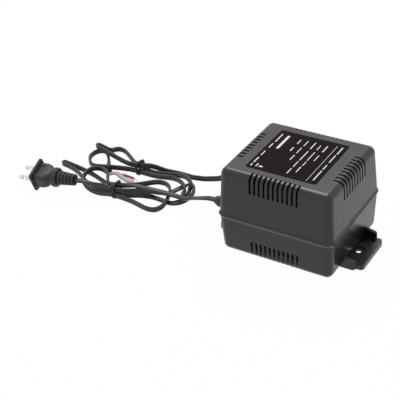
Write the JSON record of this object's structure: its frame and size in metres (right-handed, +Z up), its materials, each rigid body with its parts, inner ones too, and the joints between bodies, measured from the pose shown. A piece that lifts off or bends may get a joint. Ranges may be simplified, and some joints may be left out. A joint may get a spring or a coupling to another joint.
{
  "type": "boxed mains transformer",
  "caption": "Wall-mounted step-down transformer in a two-part vented plastic case with screw ears, a flat mains cord with a blade plug, and a tied output lead with bared ends.",
  "frame": {"origin": "centre of the case's underside, between the two mounting ears", "axes": "+X along the case from the cord end to the far ear, +Y to the back, +Z up out of the label face"},
  "size_m": [0.3606, 0.1054, 0.0843],
  "materials": {
    "case_plastic": "moulded black plastic with a soft sheen",
    "plate_black": "thin black printed plate",
    "zinc_steel": "zinc plated steel",
    "core_steel": "stacked silicon steel, varnished",
    "bobbin_nylon": "natural moulded nylon",
    "enamelled_copper": "enamelled copper wire",
    "coil_tape": "yellow polyester tape",
    "fuse_shell": "pale moulded shell",
    "tinned_brass": "tinned brass",
    "cord_rubber": "moulded black vinyl",
    "cord_vinyl": "extruded black vinyl with a dull sheen",
    "wire_black": "thin black insulation",
    "wire_red": "red insulation",
    "wire_grey": "pale grey insulation",
    "blade_metal": "plated brass blades",
    "tinned_copper": "tinned stranded copper",
    "tie_plastic": "plastic covered twist tie"
  },
  "bodies": {
    "root": {"top_cover": "case_plastic", "bottom_base": "case_plastic", "rating_plate": "plate_black", "case_screws": "zinc_steel", "e_laminations": "core_steel", "i_laminations": "core_steel", "coil_bobbin": "bobbin_nylon", "primary_winding": "enamelled_copper", "secondary_winding": "enamelled_copper", "winding_wrap": "coil_tape", "thermal_fuse": "fuse_shell", "terminal_tabs": "tinned_brass", "core_angles": "zinc_steel", "core_bolts": "zinc_steel", "core_nuts": "zinc_steel", "core_washers": "zinc_steel", "angle_screws": "zinc_steel", "mains_strain_relief": "cord_rubber", "output_strain_relief": "cord_rubber", "primary_wires": "wire_black", "secondary_wires": "wire_black", "mains_lead": "cord_vinyl", "mains_hank": "cord_vinyl", "mains_tail": "cord_vinyl", "plug_body": "cord_rubber", "plug_blades": "blade_metal", "output_lead": "cord_vinyl", "output_hank": "cord_vinyl", "red_conductor": "wire_red", "grey_conductor": "wire_grey", "conductor_tips": "tinned_copper", "hank_ties": "tie_plastic"}
  },
  "joints": []
}
